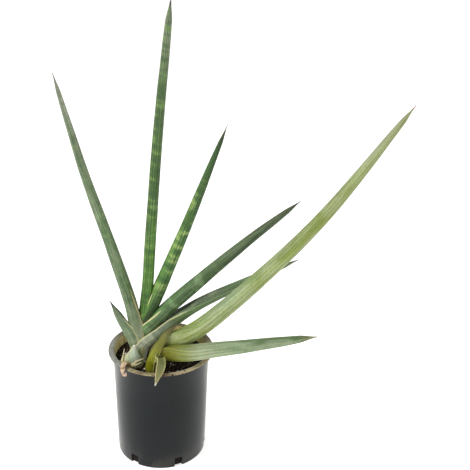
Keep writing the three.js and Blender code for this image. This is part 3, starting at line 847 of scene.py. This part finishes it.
def soilBody():
    level, bottom, rings = soil["level"], soil["bottom"], soil["topRings"]
    brim = wallInside(level)
    section = [(0, bottom)]
    section += [(wallInside(height), height) for height in (bottom, *soil["sideRings"], level)]
    section += [(brim * (1 - i / rings), level) for i in range(1, rings + 1)]
    bm = spun(section, 1, 1e-4, soil["steps"])
    for vert in bm.verts:
        x, y, z = vert.co
        rough = noise.fractal(vert.co * soil["roughScale"], 0.9, 2.0, 4) * soil["rough"]
        if z > level - 1:
            edge = smoothStep(brim - hypot(x, y), 0, 3)
            vert.co.z = lerp(level, soilTop(x, y), edge) + rough * lerp(0.3, 1, edge)
        elif z > bottom + 0.1:
            pull = 1 - max(rough + 0.4, 0) * 0.5 / max(hypot(x, y), 1)
            vert.co.x *= pull
            vert.co.y *= pull
        vert.co *= mm
    bmesh.ops.recalc_face_normals(bm, faces=bm.faces)
    return bm


def peat(name, tones, shine=0.2):
    # grainy matt finish of the mix and of what lies on it; tint makes a grain lighter
    material, tree, shader = openMaterial(name, Roughness=0.92, Specular_IOR_Level=shine)
    place = objectPlace(tree)
    grain = speckle(place, 900, 4.0, 0.7)
    patch = speckle(place, 110, 3.0, 0.6)
    value = plus(times(grain, 0.45), times(patch, 0.35))
    value = plus(value, times(attribute(tree, "tint", "Fac"), 0.6))
    plug(shader.inputs["Base Color"], toneRamp(value, tones))
    raised(shader, plus(grain, patch), 0.0006, 0.9)
    return material


def scatterRound(rng, reach):
    # an even draw over the soil's disc
    angle = rng.uniform(0, 2 * pi)
    radius = reach * sqrt(rng.random())
    return radius * cos(angle), radius * sin(angle)


def onSoil(x, y, lift):
    return Vector((x, y, soilTop(x, y) + lift)) * mm


crumb = dict(seed=11, reach=56.2, count=1900, sizes=(0.5, 0.6, 0.8, 1.0, 1.5), lift=(-0.3, 0.7),
             chips=220, chipLength=(1.5, 4.2), chipWidth=(0.25, 0.6), chipThickness=(0.4, 1.0),
             chipTilt=0.35, roughScale=700, rough=0.25)


def crumbBed():
    # crumbs and bark chips lying on the mix
    rng = random.Random(crumb["seed"])
    bm = bmesh.new()
    tint = bm.verts.layers.float.new("tint")
    for i in range(crumb["count"] + crumb["chips"]):
        x, y = scatterRound(rng, crumb["reach"])
        angle = rng.uniform(0, 6.28)
        axis = (rng.uniform(-1, 1), rng.uniform(-1, 1), rng.uniform(-1, 1))
        place = Matrix.Translation(onSoil(x, y, rng.uniform(*crumb["lift"])))
        if i < crumb["count"]:
            size = rng.choice(crumb["sizes"]) * mm
            shape = Matrix.Diagonal((size, size * rng.uniform(0.6, 1), size * rng.uniform(0.5, 0.9), 1))
            turned = place @ Matrix.Rotation(angle, 4, axis) @ shape
            made = bmesh.ops.create_icosphere(bm, subdivisions=1, radius=1, matrix=turned)["verts"]
        else:
            length = rng.uniform(*crumb["chipLength"]) * mm
            width = length * rng.uniform(*crumb["chipWidth"])
            shape = Matrix.Diagonal((length, width, rng.uniform(*crumb["chipThickness"]) * mm, 1))
            turn = Matrix.Rotation(rng.uniform(0, 6.28), 4, "Z")
            tilt = Matrix.Rotation(rng.gauss(0, crumb["chipTilt"]), 4, "X")
            made = bmesh.ops.create_cube(bm, size=1, matrix=place @ turn @ tilt @ shape)["verts"]
        shade = rng.random() ** 2
        for vert in made:
            vert.co += noise.noise_vector(vert.co * crumb["roughScale"]) * crumb["rough"] * mm
            vert[tint] = shade
    return bm


grit = dict(seed=5, reach=55.6, count=80, sizes=(0.5, 0.7, 0.9, 1.3), lift=(0, 0.7), roughScale=900,
            rough=0.35)


def gritBed():
    # white mineral grains
    rng = random.Random(grit["seed"])
    bm = bmesh.new()
    tint = bm.verts.layers.float.new("tint")
    for i in range(grit["count"]):
        x, y = scatterRound(rng, grit["reach"])
        size = rng.choice(grit["sizes"]) * mm
        place = Matrix.Translation(onSoil(x, y, rng.uniform(*grit["lift"])))
        made = bmesh.ops.create_icosphere(bm, subdivisions=2, radius=size, matrix=place)["verts"]
        for vert in made:
            vert.co += noise.noise_vector(vert.co * grit["roughScale"]) * grit["rough"] * size
            vert[tint] = rng.uniform(0, 0.3)
    return bm


fibre = dict(seed=23, scatter=50, count=46, length=(5, 16), bend=0.8, lift=(0.2, 1.6), radius=(0.1, 0.2),
             sides=5, steps=8, wander=0.12, clearance=0.4, reach=55)


def fibreBed():
    # fine dry root hairs and straw on the mix
    rng = random.Random(fibre["seed"])
    bm = bmesh.new()
    tint = bm.verts.layers.float.new("tint")
    steps = fibre["steps"]
    for i in range(fibre["count"]):
        x, y = scatterRound(rng, fibre["scatter"])
        angle, length = rng.uniform(0, 6.28), rng.uniform(*fibre["length"])
        bend, lift = rng.uniform(-fibre["bend"], fibre["bend"]), rng.uniform(*fibre["lift"])
        radius = rng.uniform(*fibre["radius"]) * mm
        ring = bmesh.ops.create_circle(bm, segments=fibre["sides"], radius=radius, cap_ends=True)["verts"]
        turn = Matrix.Rotation(angle, 4, "Z") @ Matrix.Rotation(radians(90), 4, "Y")
        start = Matrix.Translation(onSoil(x, y, fibre["clearance"]))
        bmesh.ops.transform(bm, matrix=start @ turn, verts=ring)
        faces = list(ring[0].link_faces)
        made = list(ring)
        for step in range(steps):
            out = bmesh.ops.extrude_face_region(bm, geom=faces)["geom"]
            if step:  # the first face stays and closes the fibre
                bmesh.ops.delete(bm, geom=faces, context="FACES_ONLY")
            faces = [item for item in out if isinstance(item, bmesh.types.BMFace)]
            ring = [item for item in out if isinstance(item, bmesh.types.BMVert)]
            angle += bend / steps + rng.uniform(-fibre["wander"], fibre["wander"])
            x += cos(angle) * length / steps
            y += sin(angle) * length / steps
            if hypot(x, y) > fibre["reach"]:
                x, y = x * 0.97, y * 0.97
            here = sum((vert.co for vert in ring), Vector()) / len(ring)
            rise = lift * sin(pi * (step + 1) / steps)
            bmesh.ops.translate(bm, verts=ring, vec=onSoil(x, y, fibre["clearance"] + rise) - here)
            made += ring
        shade = rng.uniform(0.2, 1)
        for vert in made:
            vert[tint] = shade
    bmesh.ops.recalc_face_normals(bm, faces=bm.faces)
    return bm


mixTones = dict(body=[(0.3, (14, 10, 8)), (0.6, (36, 26, 18)), (0.85, (62, 46, 32)), (1, (90, 70, 50))],
                crumbs=[(0.3, (16, 12, 9)), (0.6, (36, 27, 20)), (0.85, (72, 55, 39)), (1, (118, 95, 68))],
                grit=[(0.2, (190, 186, 176)), (0.7, (236, 234, 226)), (1, (250, 249, 245))],
                fibres=[(0.3, (70, 52, 34)), (0.7, (150, 122, 84)), (1, (206, 186, 146))])
darkMix = peat("potting_mix_body", mixTones["body"])
barkMix = peat("potting_mix_crumbs", mixTones["crumbs"])
gritStone = peat("potting_mix_grit", mixTones["grit"], 0.3)
strawFibre = peat("potting_mix_fibres", mixTones["fibres"])
addPiece("fine_potting_mix", soilBody(), darkMix, "potting_mix")
addPiece("mix_crumbs", crumbBed(), barkMix, "potting_mix", smooth=False)
addPiece("mix_grit", gritBed(), gritStone, "potting_mix")
addPiece("mix_fibres", fibreBed(), strawFibre, "potting_mix")
print("potting mix made")


def rhizomeSkin():
    material, tree, shader = openMaterial("rhizome_skin", Roughness=0.7, Specular_IOR_Level=0.3)
    rings = drawnOut(objectPlace(tree), (60, 60, 340), 4.0, 0.6, 0.4)
    tones = [(0.3, (150, 104, 56)), (0.55, (196, 150, 92)), (0.75, (216, 182, 132))]
    plug(shader.inputs["Base Color"], toneRamp(rings, tones))
    raised(shader, rings, 0.0008, 0.7)
    return material


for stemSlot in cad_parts["rhizome"].material_slots:
    stemSlot.material = rhizomeSkin()


studio = dict(floorSize=8, floorTone=(250, 249, 247), floorGlow=0.6, sky=0.5, aim=(0, 0, 0.2),
              key=dict(place=(-1.5, -1.0, 1.9), size=(0.9, 0.9), power=43),
              side=dict(place=(1.7, 0.2, 1.2), size=(0.8, 1.4), power=7))
view = dict(lens=900 / 470 * 36, sensor=36, place=(0.0877, -0.9628, 0.7263), pitch=24.0, roll=1.6)


def paleFloor():
    bm = bmesh.new()
    bmesh.ops.create_grid(bm, x_segments=1, y_segments=1, size=studio["floorSize"])
    floor = placeMesh("floor", bm)
    material = openMaterial("floor_white", Roughness=0.9, Specular_IOR_Level=0.1,
                            Base_Color=paint(*studio["floorTone"]), Emission_Color=(1, 1, 1, 1),
                            Emission_Strength=studio["floorGlow"])[0]
    floor.data.materials.append(material)


def softLight(name, place, size, power):
    lamp = bpy.data.lights.new(name, "AREA")
    lamp.shape = "RECTANGLE"
    lamp.size, lamp.size_y = size
    lamp.energy = power
    aim = Vector(studio["aim"]) - Vector(place)
    light = placeObject(name, lamp)
    light.location = place
    light.rotation_euler = aim.to_track_quat("-Z", "Y").to_euler()


def paleSky():
    world = bpy.data.worlds.new("studio")
    world.use_nodes = True
    background = world.node_tree.nodes["Background"]
    background.inputs[0].default_value = (1, 1, 1, 1)
    background.inputs[1].default_value = studio["sky"]
    bpy.context.scene.world = world


def setCamera():
    # looks along +Y, pitched down and rolled about its own axis
    pitch, roll = radians(view["pitch"]), radians(view["roll"])
    forward = Vector((0, cos(pitch), -sin(pitch)))
    upward = Vector((0, sin(pitch), cos(pitch)))
    right = Vector((1, 0, 0))
    tiltedRight = cos(roll) * right + sin(roll) * upward
    tiltedUp = cos(roll) * upward - sin(roll) * right
    camera = placeObject("camera", bpy.data.cameras.new("camera"))
    camera.data.lens = view["lens"]
    camera.data.sensor_width = view["sensor"]
    turned = Matrix((tiltedRight, tiltedUp, -forward)).transposed().to_4x4()
    camera.matrix_world = Matrix.Translation(view["place"]) @ turned
    bpy.context.scene.camera = camera


paleFloor()
paleSky()
bpy.context.scene.view_settings.view_transform = "Standard"
softLight("keyLight", **studio["key"])
softLight("sideLight", **studio["side"])
setCamera()
print("floor, light and camera set")
